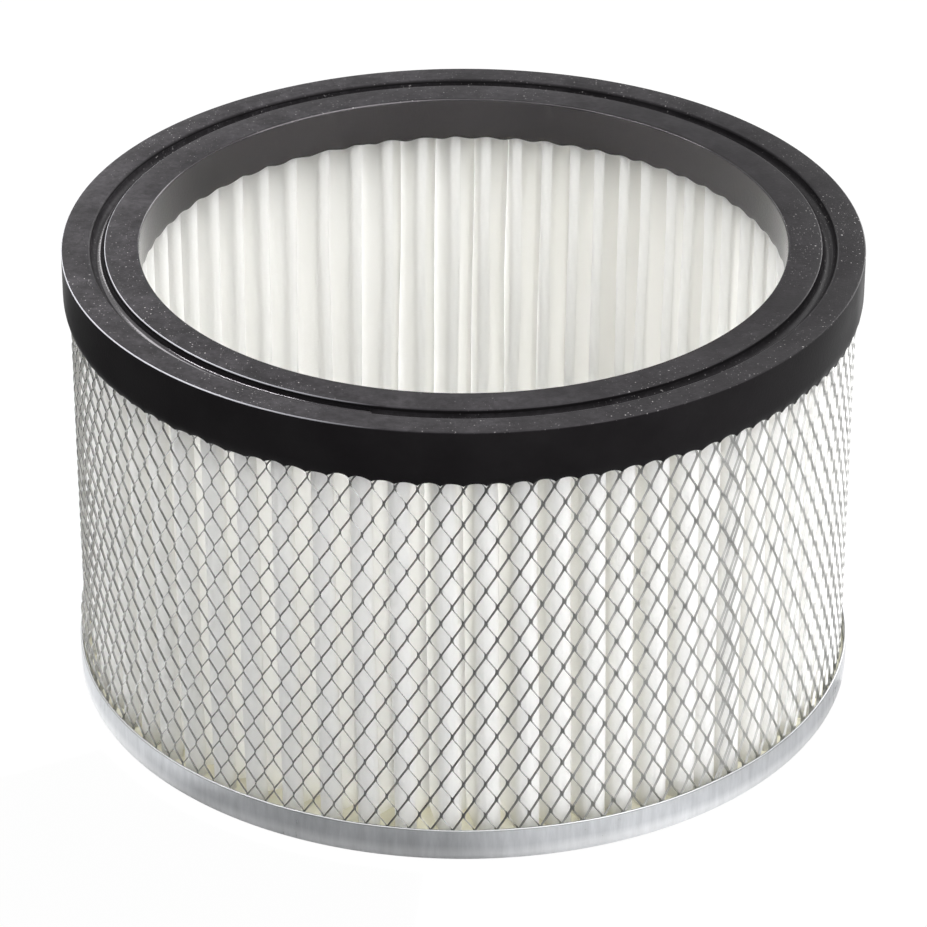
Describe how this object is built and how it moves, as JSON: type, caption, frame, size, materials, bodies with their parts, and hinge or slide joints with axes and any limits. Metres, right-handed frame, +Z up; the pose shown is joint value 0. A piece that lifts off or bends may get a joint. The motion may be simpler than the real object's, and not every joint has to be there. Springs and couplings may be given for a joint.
{
  "type": "vacuum hepa filter",
  "caption": "Round pleated cartridge filter for a vacuum cleaner, with a soft black sealing ring, an expanded-metal guard and a closed steel end pan.",
  "frame": {"origin": "centre of the end pan's underside", "axes": "+Z up along the filter's axis to the sealing face; the picture looks from -Y and above"},
  "size_m": [0.185, 0.185, 0.111],
  "materials": {
    "seal_rubber": "satin",
    "filter_media": "matte",
    "guard_steel": "satin",
    "pan_steel": "satin",
    "potting": "satin"
  },
  "bodies": {
    "root": {"sealing_ring": "seal_rubber", "pleat_pack": "filter_media", "outer_mesh": "guard_steel", "end_pan": "pan_steel", "potting_bed": "potting"}
  },
  "joints": []
}
